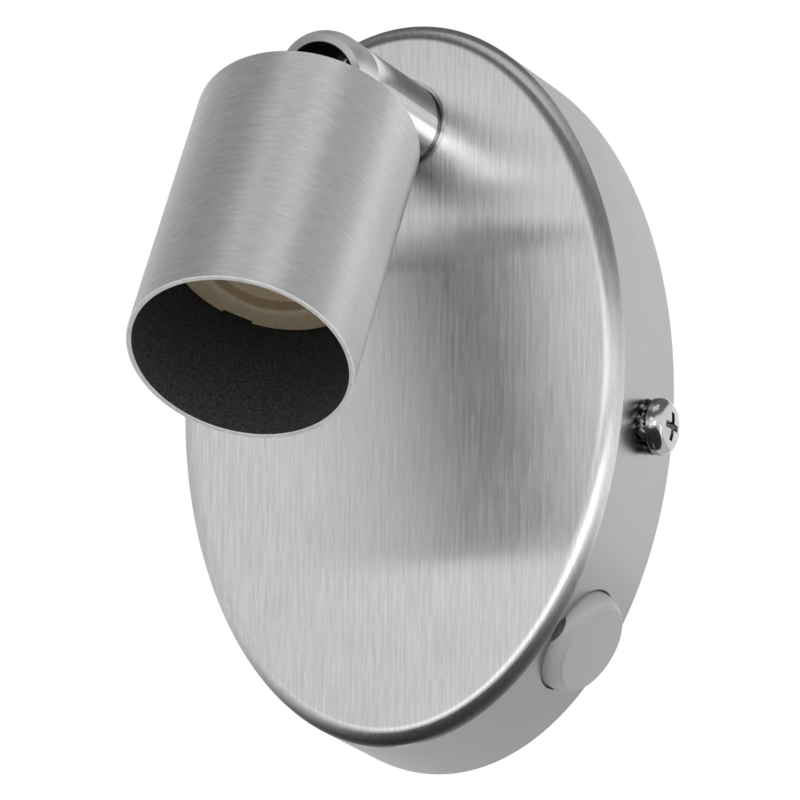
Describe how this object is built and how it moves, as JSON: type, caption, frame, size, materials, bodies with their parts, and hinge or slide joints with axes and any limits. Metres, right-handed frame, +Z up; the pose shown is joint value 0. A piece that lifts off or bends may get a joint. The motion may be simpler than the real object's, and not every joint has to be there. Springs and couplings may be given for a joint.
{
  "type": "wall spotlight",
  "caption": "Wall spotlight: oval brushed-steel canopy with a side push button, short round stem and a tilting, swivelling cylindrical lamp head, open below",
  "frame": {"origin": "centre of the oval canopy on the wall plane, on the back face of the wall bracket", "axes": "+Z up, +Y into the wall, the light stands out towards -Y, +X to the right seen from the front"},
  "size_m": [0.0843, 0.0954, 0.12],
  "materials": {
    "canopy_steel": "satin, straight vertical grain on the face",
    "head_steel": "satin, grain round the tube, matt black inside",
    "stem_steel": "turned satin",
    "bright_ring": "polished",
    "screw_chrome": "polished",
    "washer_steel": "dark zinc",
    "zinc_steel": "zinc plated",
    "brass": "plain",
    "button_plastic": "fine matt",
    "white_plastic": "matt",
    "washer_plastic": "matt",
    "ceramic": "unglazed beige ceramic",
    "grommet_rubber": "matt",
    "lead_cover": "smooth brown cover"
  },
  "bodies": {
    "base": {"canopy": "canopy_steel", "wall_bracket": "zinc_steel", "cable_grommet": "grommet_rubber", "earth_screw": "brass", "earth_washer": "zinc_steel", "side_screws": "screw_chrome", "tooth_washer": "washer_steel", "terminal_block": "white_plastic", "terminal_sleeves": "brass", "terminal_screws": "zinc_steel", "switch_saddle": "zinc_steel", "switch_housing": "white_plastic", "switch_contacts": "brass", "base_leads": "lead_cover", "stop_rivet": "zinc_steel", "seat_ring": "bright_ring"},
    "button": {"button": "button_plastic"},
    "stem": {"stem": "stem_steel", "stem_nipple": "brass", "friction_washer": "zinc_steel", "stop_washer": "zinc_steel", "stem_nut": "brass", "hinge_screw": "screw_chrome", "hinge_washers": "washer_plastic", "stem_leads": "lead_cover"},
    "head": {"hinge_fork": "stem_steel", "head_shell": "head_steel", "neck_tube": "brass", "neck_nut": "brass", "holder_bracket": "zinc_steel", "holder_screws": "zinc_steel", "lampholder": "ceramic", "lamp_shell": "brass", "centre_contact": "brass", "holder_terminals": "brass", "head_leads": "lead_cover"}
  },
  "joints": [
    {"name": "button_press", "type": "slide", "parent": "base", "child": "button", "axis": [-0.8307, 0, 0.5566], "range_m": [0, 0.0022], "stiffness_N_per_m": 300, "springref_m": -0.001},
    {"name": "stem_swivel", "type": "hinge", "parent": "base", "child": "stem", "pos_m": [0, -0.03, 0.0426], "axis": [0, -1, 0], "range_deg": [-165, 165]},
    {"name": "head_tilt", "type": "hinge", "parent": "stem", "child": "head", "pos_m": [0, -0.05, 0.0426], "axis": [1, 0, 0], "range_deg": [-60, 34]}
  ]
}
